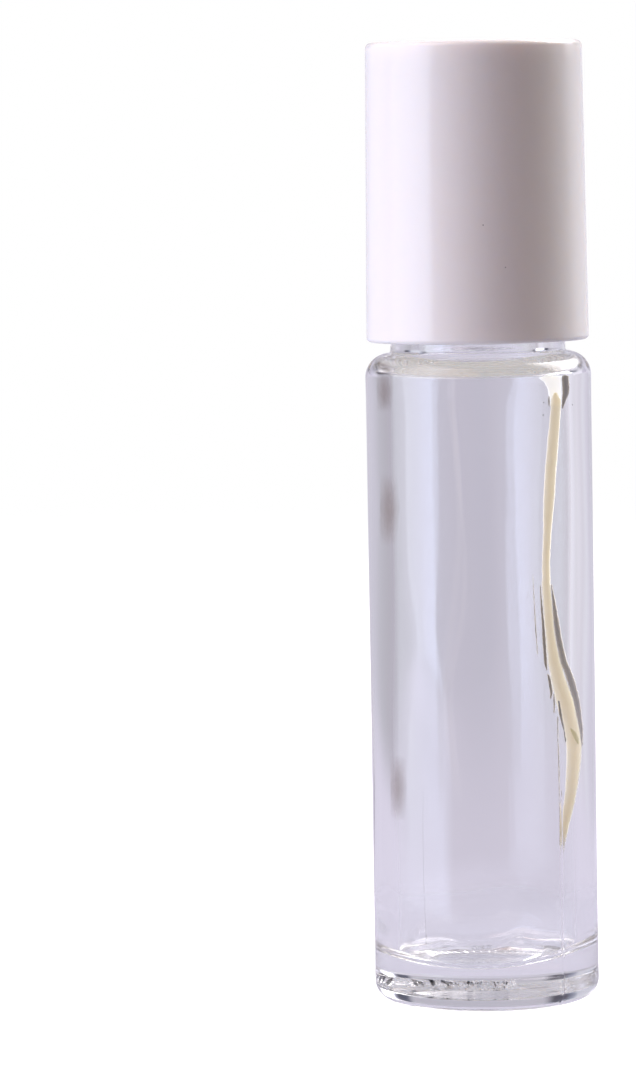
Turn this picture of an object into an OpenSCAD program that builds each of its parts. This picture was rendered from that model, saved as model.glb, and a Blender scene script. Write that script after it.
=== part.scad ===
// Roll on bottle, 10 ml: thick glass bottle, snap-in ball fitment and a two-part screw cap.
// Millimetres, +Z up. The origin is the centre of the base, and Z = 0 is the surface that it stands on.

/* [Bottle] */
// Outside diameter of the body
body_d = 20; // [19.4:0.1:22]
// Height of the shoulder above the base
shoulder_h = 57.6; // [48:0.1:70]
// Glass thickness of the side wall
wall = 2; // [1.6:0.1:2.4]
// Glass thickness of the floor
floor_t = 3.3; // [2.6:0.1:5]
// Glass thickness under the shoulder
shoulder_t = 2.2; // [1.8:0.05:3]
// Rounding of the outer bottom corner
base_round = 1.6; // [1:0.1:2.2]
// Rounding of the outer shoulder corner
shoulder_round = 2.1; // [1.4:0.1:2.2]
// Rounding between the floor and the inside wall
floor_round = 1.9; // [1:0.1:2.4]
// Rounding between the inside wall and the inside of the shoulder
vault_round = 0.2; // [0.1:0.05:0.5]
// Width of the flat ring that the bottle stands on
standing_w = 1.9; // [1.4:0.1:3]
// Depth of the hollow inside the standing ring
hollow_depth = 0.5; // [0.3:0.1:0.9]

/* [Neck and thread] */
// Height of the neck above the shoulder
neck_h = 12.9; // [12.3:0.1:13.8]
// How far the thread's crest, and the bead at the neck's foot, stay inside the body's side
neck_inset = 2.25; // [2:0.05:2.6]
// Height of a thread ridge above the neck
thread_depth = 0.75; // [0.6:0.05:0.85]
// Rise of the thread in one turn
pitch = 2.5; // [2.2:0.1:2.8]
// Number of turns of the thread
thread_turns = 1.5; // [1.25:0.25:2]
// Width of the ridge at its foot
ridge_foot_w = 1.3; // [1.1:0.05:1.4]
// Width of the ridge at its crest
ridge_crest_w = 0.6; // [0.4:0.05:0.7]
// Distance from the neck's rim down to the middle of the last turn
thread_below_rim = 1.7; // [1.4:0.1:2]
// Glass thickness of the neck under the thread
neck_wall = 1.8; // [1.5:0.1:2.2]
// Height of the bead at the foot of the neck
bead_h = 1.8; // [1.2:0.1:2]
// Rounding of the neck's rim
rim_round = 0.4; // [0.2:0.05:0.5]
// Rounding of the bead's upper edge
bead_round = 0.4; // [0.2:0.05:0.6]
// Flat width of the ceiling, between its corner and the rounding that leads into the neck's bore
ceiling_w = 0.3; // [0.1:0.05:1]
// Rounding between the shoulder and the neck's foot
foot_round = 0.3; // [0.2:0.05:0.5]

/* [Ball] */
// How much smaller the ball is than the neck's bore, on the radius
ball_margin = 0.45; // [0.3:0.05:0.6]
// How deep the ball sinks below the neck's rim
ball_sink = 1.95; // [1.6:0.05:2.2]
// How far the fitment's lip reaches above the ball's middle
lip_grip = 1.75; // [1.4:0.05:2]

/* [Roller housing] */
// Length of the plug inside the neck
plug_h = 7.5; // [6:0.25:9]
// Wall of the plug's lower skirt
skirt_t = 0.95; // [0.8:0.05:1.2]
// Height of the thicker seat above the skirt, measured down from the neck's rim
seat_h = 4; // [3.5:0.25:4.5]
// Wall of the seat round the throat, under the ball
seat_t = 1.95; // [1.6:0.05:2.1]
// Thickness of the flange that rests on the neck's rim
flange_t = 0.9; // [0.7:0.1:1.2]
// How far the flange stays inside the neck's outside
flange_inset = 0.2; // [0.1:0.05:0.4]
// Wall of the cup at the ball's widest point
cup_t = 1.3; // [1.1:0.05:1.6]
// Rounding of the cup's lip
lip_round = 0.45; // [0.3:0.05:0.5]
// Radius of the rounded sealing rings on the plug
ring_r = 0.35; // [0.3:0.05:0.5]
// How far a sealing ring stands out past the neck's bore before it is pressed in
ring_bite = 0.08; // [0.04:0.02:0.12]
// Width of a flow groove in the seat
groove_w = 0.8; // [0.6:0.1:1]
// Depth of a flow groove into the throat's wall
groove_depth = 0.7; // [0.5:0.1:0.8]

/* [Cap] */
// Gap between the cap's rim and the shoulder
cap_gap = 1.05; // [0.7:0.05:1.3]
// How far the cap's rim stays inside the body's side
cap_inset = 0.15; // [0:0.025:0.3]
// How much the cap's side leans in from its rim to its top, on the radius
cap_draft = 0.3; // [0.1:0.025:0.35]
// Free height between the insert's web and the shell's top
headroom = 3.49; // [1:0.01:6]
// Thickness of the shell's top
cap_top_t = 1.1; // [0.9:0.1:1.5]
// Rounding of the cap's top edge
cap_top_round = 0.5; // [0.3:0.05:0.7]
// Rounding of the cap's rim
cap_rim_round = 0.4; // [0.25:0.05:0.45]
// Rounding inside the shell's top
shell_vault_round = 0.6; // [0.3:0.1:0.9]

/* [Cap insert] */
// Wall of the threaded sleeve
sleeve_t = 0.75; // [0.65:0.05:0.8]
// How far the sleeve stays up inside the cap's rim
sleeve_inset = 0.8; // [0.5:0.1:1.5]
// Thickness of the web above the ball seal
web_t = 1.2; // [0.8:0.1:1.5]
// Lead-in at the mouth of the sleeve
lead_in = 0.35; // [0.2:0.05:0.5]
// Width of a rib between sleeve and shell
rib_w = 0.9; // [0.6:0.1:1.4]
// Height of a rib, which is the gap between sleeve and shell
rib_h = 0.2; // [0.1:0.05:0.4]
// Rounding of the sleeve's top edge
sleeve_round = 0.45; // [0.3:0.05:0.6]
// Radius of the snap bead that keeps the seal in
snap_r = 0.35; // [0.25:0.05:0.4]

/* [Ball seal] */
// Thickness of the seal at its edge
seal_t = 1.6; // [1.4:0.1:1.9]
// Depth of the dish that fits the ball
dish_depth = 0.6; // [0.4:0.05:0.8]
// Rounding of the seal's edges
seal_round = 0.3; // [0.2:0.05:0.4]

/* [Fits] */
// Radial clearance between the ball and its socket
ball_clear = 0.05; // [0.03:0.01:0.08]
// Radial clearance between the plug and the neck's bore
plug_clear = 0.05; // [0.03:0.01:0.08]
// Radial clearance between the two threads
thread_clear = 0.2; // [0.15:0.01:0.25]
// Clearance along the axis between the flanks of the two threads
flank_clear = 0.25; // [0.2:0.01:0.3]
// Clearance between the ribs and the shell
rib_clear = 0.02; // [0.01:0.01:0.04]
// Clearance round the ball seal, also between the seal and the ball
seal_clear = 0.08; // [0.05:0.01:0.1]

/* [Hidden] */
$fn = 96;

// Overrun of every cut, and how deep a ridge is rooted in its wall
over = 0.3;
groove_count = 4;
rib_count = 12;
ring_count = 2;
// Steps of the thread in one turn, and the angle over which a ridge runs out
thread_steps = 48;
runout_a = 40;

body_r = body_d / 2;
inner_r = body_r - wall;
vault_z = shoulder_h - shoulder_t;
hollow_r = body_r - base_round - standing_w;

rim_z = shoulder_h + neck_h;
thread_r = body_r - neck_inset;
neck_r = thread_r - thread_depth;
bore_r = neck_r - neck_wall;
mouth_round = inner_r - vault_round - ceiling_w - bore_r;
// The fillet at the neck's foot touches the bead and the shoulder's round
foot_x = thread_r + foot_round;
foot_dx = foot_x - (body_r - shoulder_round);
foot_dz = sqrt(pow(shoulder_round + foot_round, 2) - pow(foot_dx, 2));
foot_z = shoulder_h - shoulder_round + foot_dz;
ridge_foot = ridge_foot_w / 2;
ridge_crest = ridge_crest_w / 2;
thread_z = rim_z - thread_below_rim - pitch * thread_turns;

ball_r = bore_r - ball_margin;
ball_z = rim_z + ball_r - ball_sink;
ball_top = ball_z + ball_r;
socket_r = ball_r + ball_clear;
cup_r = socket_r + cup_t;
lip_z = ball_z + lip_grip;
plug_r = bore_r - plug_clear;
plug_z = rim_z - plug_h;
throat_r = plug_r - seat_t;

cap_z = shoulder_h + cap_gap;
cap_rim_r = body_r - cap_inset;
cap_top_r = cap_rim_r - cap_draft;

// The cap's thread lies half a turn below the bottle's, in the space between its ridges
sleeve_bore_r = thread_r + thread_clear;
sleeve_r = sleeve_bore_r + sleeve_t;
sleeve_z = cap_z + sleeve_inset;
shell_bore_r = sleeve_r + rib_h;
cap_crest_r = neck_r + thread_clear;
flank_slope = (ridge_foot - ridge_crest) / thread_depth;
cap_ridge_crest = pitch / 2 - flank_clear - (ridge_foot - flank_slope * thread_clear);
cap_ridge_foot = pitch / 2 - flank_clear - (ridge_crest - flank_slope * thread_clear);

seal_z = ball_top + seal_clear - dish_depth;
seal_r = sleeve_bore_r - seal_clear;
web_z = seal_z + seal_t + seal_clear;
snap_z = seal_z - seal_clear - snap_r;
shell_vault_z = web_z + web_t + headroom;
total_h = shell_vault_z + cap_top_t;

// The sliver between a corner p, whose edges leave along the unit vectors u and v, and an arc of radius r
module corner(p, u, v, r) {
    half_a = acos(u * v) / 2;
    tangent = r / tan(half_a);
    centre = p + (u + v) / norm(u + v) * r / sin(half_a);
    difference() {
        polygon([p, p + u * tangent, centre, p + v * tangent]);
        translate(centre) circle(r);
    }
}

// A helical ridge: four corners in each step, buried over deep in the wall that carries it.
// Half widths are given at its foot and crest, and both ends run out into the wall.
function ridge_ring(a, z, foot_r, tip_r, foot, crest, side) = [
    for (q = [[foot_r, -foot], [tip_r, -crest], [tip_r, crest], [foot_r, foot]])
        [q[0] * cos(a), q[0] * sin(a), z + side * q[1]]
];

module ridge(wall_r, crest_r, foot, crest, z) {
    side = sign(crest_r - wall_r);
    steps = ceil(thread_turns * thread_steps);
    sweep = 360 * thread_turns;
    foot_r = wall_r - side * over;
    buried_r = wall_r - side * over / 2;
    rings = [for (i = [0:steps])
        let (a = sweep * i / steps,
             rise = min(1, a / runout_a, (sweep - a) / runout_a),
             tip_r = buried_r + (crest_r - buried_r) * rise)
        each ridge_ring(a, z + pitch * a / 360, foot_r, tip_r, foot, crest, side)];
    quads = [for (i = [0:steps - 1], j = [0:3])
        let (k = (j + 1) % 4) [4 * i + j, 4 * i + k, 4 * i + 4 + k, 4 * i + 4 + j]];
    sides = [for (q = quads) each [[q[0], q[1], q[2]], [q[0], q[2], q[3]]]];
    last = 4 * steps;
    ends = [[3, 2, 1], [3, 1, 0], [last, last + 1, last + 2], [last, last + 2, last + 3]];
    polyhedron(points = rings, faces = concat(sides, ends));
}

module bottle_outside() {
    difference() {
        square([body_r, shoulder_h]);
        corner([body_r, 0], [-1, 0], [0, 1], base_round);
        corner([body_r, shoulder_h], [-1, 0], [0, -1], shoulder_round);
    }
    difference() {
        translate([0, shoulder_h - over]) square([neck_r, neck_h + over]);
        corner([neck_r, rim_z], [-1, 0], [0, -1], rim_round);
    }
    difference() {
        translate([0, shoulder_h - over]) square([thread_r, bead_h + over]);
        corner([thread_r, shoulder_h + bead_h], [-1, 0], [0, -1], bead_round);
    }
    difference() {
        polygon([[thread_r - over, shoulder_h - over], [thread_r - over, foot_z], [foot_x, foot_z],
                 [foot_x, foot_z] - [foot_dx, foot_dz] * foot_round / (shoulder_round + foot_round)]);
        translate([foot_x, foot_z]) circle(foot_round);
    }
}

module bottle_inside() {
    difference() {
        translate([0, floor_t]) square([inner_r, vault_z - floor_t]);
        corner([inner_r, floor_t], [-1, 0], [0, 1], floor_round);
        corner([inner_r, vault_z], [-1, 0], [0, -1], vault_round);
    }
    translate([0, vault_z - over]) square([bore_r, rim_z - vault_z + 2 * over]);
    corner([bore_r, vault_z], [0, 1], [1, 0], mouth_round);
}

// The hollow under the base is a shallow dome that meets the standing ring at hollow_r
module base_hollow() {
    dome_r = (hollow_r * hollow_r + hollow_depth * hollow_depth) / (2 * hollow_depth);
    intersection() {
        translate([0, hollow_depth - dome_r]) circle(dome_r, $fn = 4 * $fn);
        translate([0, -over]) square([hollow_r + over, hollow_depth + 2 * over]);
    }
}

module glass_bottle() {
    color([0.86, 0.9, 0.93, 0.45]) union() {
        rotate_extrude() difference() {
            bottle_outside();
            bottle_inside();
            base_hollow();
        }
        ridge(neck_r, thread_r, ridge_foot, ridge_crest, thread_z);
    }
}

module housing_outline() {
    difference() {
        union() {
            translate([0, plug_z]) square([plug_r, plug_h]);
            for (i = [1:ring_count])
                translate([bore_r + ring_bite - ring_r, plug_z + plug_h * i / (ring_count + 1)])
                    circle(ring_r);
            translate([0, rim_z]) square([neck_r - flange_inset, flange_t]);
            difference() {
                translate([0, rim_z]) square([cup_r, lip_z - rim_z]);
                corner([cup_r, lip_z], [-1, 0], [0, -1], lip_round);
            }
        }
        translate([0, ball_z]) circle(socket_r);
        translate([0, plug_z - over]) square([throat_r, plug_h + over]);
        translate([0, plug_z - over]) square([plug_r - skirt_t, plug_h - seat_h + over]);
    }
}

module roller_housing() {
    color([0.93, 0.94, 0.92, 0.85]) difference() {
        rotate_extrude() housing_outline();
        for (i = [0:groove_count - 1])
            rotate(360 * i / groove_count)
                translate([0, -groove_w / 2, rim_z - seat_h - over])
                    cube([throat_r + groove_depth, groove_w, seat_h + over]);
    }
}

module roller_ball() {
    color([0.82, 0.84, 0.86]) translate([0, 0, ball_z]) sphere(ball_r);
}

module cap_shell() {
    side = [cap_top_r - cap_rim_r, total_h - cap_z];
    up = side / norm(side);
    color([0.96, 0.96, 0.97]) rotate_extrude() difference() {
        polygon([[0, cap_z], [cap_rim_r, cap_z], [cap_top_r, total_h], [0, total_h]]);
        corner([cap_rim_r, cap_z], [-1, 0], up, cap_rim_round);
        corner([cap_top_r, total_h], [-1, 0], -up, cap_top_round);
        difference() {
            translate([0, cap_z - over]) square([shell_bore_r, shell_vault_z - cap_z + over]);
            corner([shell_bore_r, shell_vault_z], [-1, 0], [0, -1], shell_vault_round);
        }
    }
}

module insert_outline() {
    difference() {
        translate([0, sleeve_z]) square([sleeve_r, shell_vault_z - sleeve_z]);
        corner([sleeve_r, shell_vault_z], [-1, 0], [0, -1], sleeve_round);
        translate([0, sleeve_z - over]) square([sleeve_bore_r, web_z - sleeve_z + over]);
        translate([0, web_z + web_t]) square([sleeve_bore_r, shell_vault_z - web_z - web_t + over]);
        polygon([[sleeve_bore_r - over, sleeve_z - over], [sleeve_bore_r + lead_in + over, sleeve_z - over],
                 [sleeve_bore_r - over, sleeve_z + lead_in + over]]);
    }
    intersection() {
        translate([sleeve_bore_r, snap_z]) circle(snap_r);
        translate([0, sleeve_z]) square([sleeve_bore_r + sleeve_t / 2, shell_vault_z - sleeve_z]);
    }
}

module cap_insert() {
    rib_top = shell_vault_z - shell_vault_round - over;
    color([0.9, 0.9, 0.88]) union() {
        rotate_extrude() insert_outline();
        for (i = [0:rib_count - 1])
            rotate(360 * i / rib_count)
                translate([sleeve_r - over, -rib_w / 2, sleeve_z])
                    cube([shell_bore_r - rib_clear - sleeve_r + over, rib_w, rib_top - sleeve_z]);
        ridge(sleeve_bore_r, cap_crest_r, cap_ridge_foot, cap_ridge_crest, thread_z - pitch / 2);
    }
}

module ball_seal() {
    color([0.97, 0.97, 0.94]) rotate_extrude() difference() {
        translate([0, seal_z]) square([seal_r, seal_t]);
        corner([seal_r, seal_z], [-1, 0], [0, 1], seal_round);
        corner([seal_r, seal_z + seal_t], [-1, 0], [0, -1], seal_round);
        translate([0, ball_z]) circle(ball_r + seal_clear);
    }
}

glass_bottle();
roller_housing();
roller_ball();
cap_shell();
cap_insert();
ball_seal();
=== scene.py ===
import math
import bpy
import numpy as np
from mathutils import Matrix, Vector


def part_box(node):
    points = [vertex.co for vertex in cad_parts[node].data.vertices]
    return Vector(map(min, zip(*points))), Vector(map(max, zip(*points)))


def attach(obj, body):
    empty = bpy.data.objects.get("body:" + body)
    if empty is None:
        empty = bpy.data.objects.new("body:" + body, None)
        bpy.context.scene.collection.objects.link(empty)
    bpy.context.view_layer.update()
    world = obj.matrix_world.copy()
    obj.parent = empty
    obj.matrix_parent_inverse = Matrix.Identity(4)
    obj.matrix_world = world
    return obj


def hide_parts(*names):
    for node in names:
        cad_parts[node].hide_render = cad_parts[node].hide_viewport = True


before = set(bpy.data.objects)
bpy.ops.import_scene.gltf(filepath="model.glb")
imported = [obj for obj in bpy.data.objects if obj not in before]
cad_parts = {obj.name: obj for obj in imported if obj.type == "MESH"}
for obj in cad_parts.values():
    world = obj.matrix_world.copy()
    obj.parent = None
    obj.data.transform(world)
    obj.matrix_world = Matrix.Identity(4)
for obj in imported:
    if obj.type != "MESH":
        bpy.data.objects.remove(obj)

# The roll on bottle's looks. Lengths in the dictionaries are millimetres and angles are degrees, unless a
# note says otherwise. An azimuth runs from the front, positive to the right.
mm = 0.001
fullTurn = 2 * math.pi
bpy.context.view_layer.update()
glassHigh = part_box("glass_bottle")[1]
ballLow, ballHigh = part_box("roller_ball")
shellLow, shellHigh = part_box("cap_shell")
bodyRadius = glassHigh.x / mm
rimHeight = glassHigh.z / mm
ballRadius = (ballHigh.z - ballLow.z) / 2 / mm
ballHeight = (ballHigh.z + ballLow.z) / 2 / mm
capFoot = shellLow.z / mm
capTop = shellHigh.z / mm


# Camera: a long lens a little above the bottle's middle, with the bottle right of centre, leaning a touch
cameraView = dict(distance=450.0, pitch=4.62, roll=1.0, aimHeight=41.13, aimLeft=14.45,
                  pixelsPerMm=11.25, imageHeight=1080, sensor=36.0, nearest=10.0)


def placeCamera(c):
    pitch, roll = math.radians(c["pitch"]), math.radians(c["roll"])
    forward = Vector((0, math.cos(pitch), -math.sin(pitch)))
    up = Vector((0, math.sin(pitch), math.cos(pitch)))
    right = Vector((1, 0, 0))
    aim = Vector((-c["aimLeft"], 0, c["aimHeight"])) * mm
    camX = right * math.cos(roll) - up * math.sin(roll)
    camY = up * math.cos(roll) + right * math.sin(roll)
    turn = Matrix((camX, camY, -forward)).transposed().to_4x4()
    data = bpy.data.cameras.new("camera")
    data.sensor_width = c["sensor"]
    data.lens = c["distance"] * c["pixelsPerMm"] / c["imageHeight"] * c["sensor"]
    data.clip_start = c["nearest"] * mm
    cam = bpy.data.objects.new("camera", data)
    cam.matrix_world = Matrix.Translation(aim - forward * c["distance"] * mm) @ turn
    bpy.context.scene.collection.objects.link(cam)
    bpy.context.scene.camera = cam


placeCamera(cameraView)
print("camera placed")


# Node helpers
def newMaterial(name):
    mat = bpy.data.materials.new(name)
    mat.use_nodes = True
    tree = mat.node_tree
    tree.nodes.clear()
    out = tree.nodes.new("ShaderNodeOutputMaterial")
    return mat, tree, out


def addNode(tree, kind, **values):
    # Each value is a setting of the node, or else an input, named with _ for a space.
    node = tree.nodes.new(kind)
    for key, value in values.items():
        if hasattr(node, key):
            setattr(node, key, value)
        else:
            node.inputs[key.replace("_", " ")].default_value = value
    return node


def link(tree, source, target):
    tree.links.new(source, target)


def feed(tree, value, slot):
    # A number, or a colour as a tuple of three, is set on the slot. Anything else is an output to link.
    if isinstance(value, (int, float)):
        slot.default_value = value
    elif isinstance(value, tuple):
        slot.default_value = (*value, 1)
    else:
        link(tree, value, slot)


def mathNode(tree, operation, *values, clamp=False):
    node = addNode(tree, "ShaderNodeMath", operation=operation, use_clamp=clamp)
    for value, slot in zip(values, node.inputs):
        feed(tree, value, slot)
    return node.outputs[0]


def plus(tree, a, b):
    return mathNode(tree, "ADD", a, b)


def minus(tree, a, b):
    return mathNode(tree, "SUBTRACT", a, b)


def times(tree, a, b):
    return mathNode(tree, "MULTIPLY", a, b)


def mapRange(tree, value, start, end, low=0.0, high=1.0, kind="LINEAR"):
    # Low where the value is at start, high where it is at end, and held there outside.
    node = addNode(tree, "ShaderNodeMapRange", interpolation_type=kind, From_Min=start, From_Max=end,
                   To_Min=low, To_Max=high)
    link(tree, value, node.inputs["Value"])
    return node.outputs["Result"]


def mixColours(tree, share, first, second, blend="MIX"):
    node = addNode(tree, "ShaderNodeMix", data_type="RGBA", blend_type=blend)
    for value, slot in ((share, node.inputs[0]), (first, node.inputs[6]), (second, node.inputs[7])):
        feed(tree, value, slot)
    return node.outputs[2]


def mixShaders(tree, share, first, second):
    node = tree.nodes.new("ShaderNodeMixShader")
    for source, slot in zip((share, first, second), node.inputs):
        link(tree, source, slot)
    return node.outputs[0]


def colourRamp(tree, value, marks):
    # Marks are (place from 0 to 1, colour), in rising order.
    node = tree.nodes.new("ShaderNodeValToRGB")
    link(tree, value, node.inputs[0])
    stops = node.color_ramp.elements
    while len(stops) > 1:
        stops.remove(stops[-1])
    for k, (at, colour) in enumerate(marks):
        stop = stops[0] if k == 0 else stops.new(at)
        stop.position = at
        stop.color = (*colour, 1)
    return node.outputs[0]


def objectPlace(tree):
    return tree.nodes.new("ShaderNodeTexCoord").outputs["Object"]


def split(tree, vector):
    node = tree.nodes.new("ShaderNodeSeparateXYZ")
    link(tree, vector, node.inputs[0])
    return node.outputs


def stretched(tree, vector, scale):
    node = addNode(tree, "ShaderNodeMapping", Scale=scale)
    link(tree, vector, node.inputs["Vector"])
    return node.outputs[0]


def noise(tree, vector, scale, detail):
    # Scale is in cells a metre.
    node = addNode(tree, "ShaderNodeTexNoise", Detail=detail)
    feed(tree, scale, node.inputs["Scale"])
    link(tree, vector, node.inputs["Vector"])
    return node.outputs["Fac"]


def addRelief(tree, height, strength, depth, shader):
    # Depth is in metres.
    node = addNode(tree, "ShaderNodeBump", Strength=strength, Distance=depth)
    link(tree, height, node.inputs["Height"])
    link(tree, node.outputs[0], shader.inputs["Normal"])


def newGroup(name, inputs, outputs):
    group = bpy.data.node_groups.new(name, "ShaderNodeTree")
    for key, kind, value in inputs:
        made = group.interface.new_socket(name=key, in_out="INPUT", socket_type=kind)
        made.default_value = value
    for key, kind in outputs:
        group.interface.new_socket(name=key, in_out="OUTPUT", socket_type=kind)
    return group, group.nodes.new("NodeGroupInput"), group.nodes.new("NodeGroupOutput")


def placeGroup(tree, group, **values):
    node = tree.nodes.new("ShaderNodeGroup")
    node.node_tree = group
    for key, value in values.items():
        node.inputs[key].default_value = value
    return node


# Studio: the light from all round in five bands of elevation. The table ends at tableEdge, the low ring
# at eyeEdge, the eye ring at upperEdge and the upper ring at ceilingEdge, with the ceiling above, and
# each edge is soft over some degrees. A ring and the table are lists of (azimuth, colour), and colours
# are brightnesses, up to gain. A soft box stands on the left, pale panels on the right and behind, and
# lavender paper behind, and the room in front is dim. The camera itself sees the backdrop.
studio = dict(
    gain=10.0, tableEdge=-7.1, eyeEdge=3.0, upperEdge=20.0, ceilingEdge=60.0, tableSoft=2.6, eyeSoft=2.0,
    upperSoft=8.0, backdrop=(1.0, 1.0, 1.0), ceiling=(0.40, 0.34, 0.34),
    table=[
        (-180, (0.71, 0.67, 0.80)), (-110, (0.71, 0.67, 0.80)), (-90, (1.2, 1.24, 1.48)),
        (-42, (1.2, 1.24, 1.48)), (-39, (0.24, 0.16, 0.15)), (0, (0.10, 0.05, 0.04)),
        (70, (0.06, 0.03, 0.02)), (95, (0.30, 0.25, 0.28)), (110, (0.71, 0.67, 0.80)),
        (180, (0.71, 0.67, 0.80))],
    lowRing=[
        (-180, (0.62, 0.59, 0.70)), (-165, (0.59, 0.57, 0.66)), (-150, (0.50, 0.49, 0.55)),
        (-136, (0.47, 0.45, 0.51)), (-120, (0.48, 0.45, 0.53)), (-102, (0.47, 0.44, 0.50)),
        (-98, (1.45, 1.55, 1.7)), (-82, (1.9, 2.0, 2.3)), (-72, (2.6, 2.75, 3.35)),
        (-58, (2.85, 3.1, 3.95)), (-51, (2.7, 2.95, 3.7)), (-48, (0.50, 0.52, 0.62)),
        (-40, (0.36, 0.34, 0.38)), (-28, (0.24, 0.17, 0.17)), (-14, (0.15, 0.09, 0.09)),
        (-4, (0.05, 0.04, 0.04)), (60, (0.03, 0.02, 0.02)), (78, (0.08, 0.06, 0.06)),
        (90, (0.20, 0.17, 0.165)), (102, (0.36, 0.33, 0.36)), (112, (0.50, 0.47, 0.53)),
        (117, (0.84, 0.80, 0.88)), (125, (0.84, 0.82, 0.93)), (133, (0.74, 0.72, 0.80)),
        (141, (0.72, 0.69, 0.78)), (149, (0.66, 0.63, 0.71)), (158, (0.74, 0.73, 0.82)),
        (170, (0.65, 0.62, 0.73)), (180, (0.62, 0.59, 0.70))],
    eyeRing=[
        (-180, (0.50, 0.48, 0.56)), (-160, (0.50, 0.48, 0.55)), (-155, (0.05, 0.05, 0.07)),
        (-148, (0.06, 0.06, 0.09)), (-141, (0.30, 0.32, 0.42)), (-138, (0.60, 0.60, 0.68)),
        (-112, (0.70, 0.70, 0.80)), (-102, (0.47, 0.44, 0.50)), (-98, (1.45, 1.55, 1.7)),
        (-72, (2.6, 2.75, 3.35)), (-49, (2.7, 2.95, 3.7)), (-46, (0.50, 0.52, 0.62)),
        (-28, (0.24, 0.17, 0.17)), (-4, (0.05, 0.04, 0.04)), (60, (0.03, 0.02, 0.02)),
        (90, (0.20, 0.17, 0.165)), (110, (0.50, 0.47, 0.53)), (114, (2.2, 2.2, 2.4)),
        (130, (2.0, 2.0, 2.2)), (133, (0.5, 0.5, 0.6)), (136, (0.06, 0.06, 0.09)),
        (143, (0.06, 0.07, 0.11)), (147, (0.50, 0.48, 0.55)), (180, (0.50, 0.48, 0.56))],
    upperRing=[
        (-180, (0.62, 0.6, 0.65)), (-150, (0.6, 0.58, 0.62)), (-115, (0.8, 0.78, 0.82)),
        (-100, (1.8, 1.65, 1.7)), (-86, (2.9, 2.7, 2.8)), (-60, (3.5, 3.2, 3.35)),
        (-48, (3.2, 2.8, 2.9)), (-35, (2.2, 1.7, 1.65)), (-10, (0.75, 0.42, 0.34)),
        (5, (0.03, 0.02, 0.02)), (70, (0.03, 0.02, 0.02)), (85, (0.9, 0.8, 0.75)), (96, (5.6, 5.3, 5.2)),
        (112, (9.2, 8.9, 8.9)), (128, (8.6, 8.4, 8.5)), (142, (5.0, 4.8, 4.9)), (158, (1.8, 1.7, 1.75)),
        (180, (0.62, 0.6, 0.65))])


def buildWorld(s):
    world = bpy.data.worlds.new("studio")
    bpy.context.scene.world = world
    world.use_nodes = True
    tree = world.node_tree
    tree.nodes.clear()
    out = tree.nodes.new("ShaderNodeOutputWorld")
    place = tree.nodes.new("ShaderNodeTexCoord")
    x, y, z = split(tree, place.outputs["Generated"])
    # The azimuth as a share of the full turn, with the front in the middle
    turn = mathNode(tree, "ARCTAN2", x, times(tree, y, -1.0))
    share = plus(tree, mathNode(tree, "DIVIDE", turn, fullTurn), 0.5)
    elevation = mathNode(tree, "ARCSINE", z)

    def dimmed(colour):
        return tuple(c / s["gain"] for c in colour)

    def ringColour(ring):
        return colourRamp(tree, share, [(azimuth / 360 + 0.5, dimmed(colour)) for azimuth, colour in ring])

    def above(edge, soft):
        return mapRange(tree, elevation, math.radians(edge - soft / 2), math.radians(edge + soft / 2),
                        kind="SMOOTHSTEP")

    low, eye, upper = ringColour(s["lowRing"]), ringColour(s["eyeRing"]), ringColour(s["upperRing"])
    sky = mixColours(tree, above(s["eyeEdge"], s["eyeSoft"]), low, eye)
    sky = mixColours(tree, above(s["upperEdge"], s["upperSoft"]), sky, upper)
    sky = mixColours(tree, above(s["tableEdge"], s["tableSoft"]), ringColour(s["table"]), sky)
    sky = mixColours(tree, above(s["ceilingEdge"], s["upperSoft"]), sky, dimmed(s["ceiling"]))
    studioLight = addNode(tree, "ShaderNodeBackground", Strength=s["gain"])
    link(tree, sky, studioLight.inputs["Color"])
    backdrop = addNode(tree, "ShaderNodeBackground", Color=(*s["backdrop"], 1))
    rays = tree.nodes.new("ShaderNodeLightPath")
    both = mixShaders(tree, rays.outputs["Is Camera Ray"], studioLight.outputs[0], backdrop.outputs[0])
    link(tree, both, out.inputs[0])


buildWorld(studio)


# Floor: pale paper. The camera sees it white and fading out far away. Reflections and the view through
# the glass see only the patch round the foot, and the studio beyond it. A fade is (start, end) from the
# middle.
floorPaper = dict(size=1600.0, drop=0.03, seenGlow=(0.72, 0.72, 0.72), seenPaint=(0.5, 0.5, 0.5),
                  throughGlow=(0.29, 0.283, 0.338), throughPaint=(0.262, 0.262, 0.306),
                  nearFade=(55.0, 75.0), farFade=(240.0, 600.0))


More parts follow.
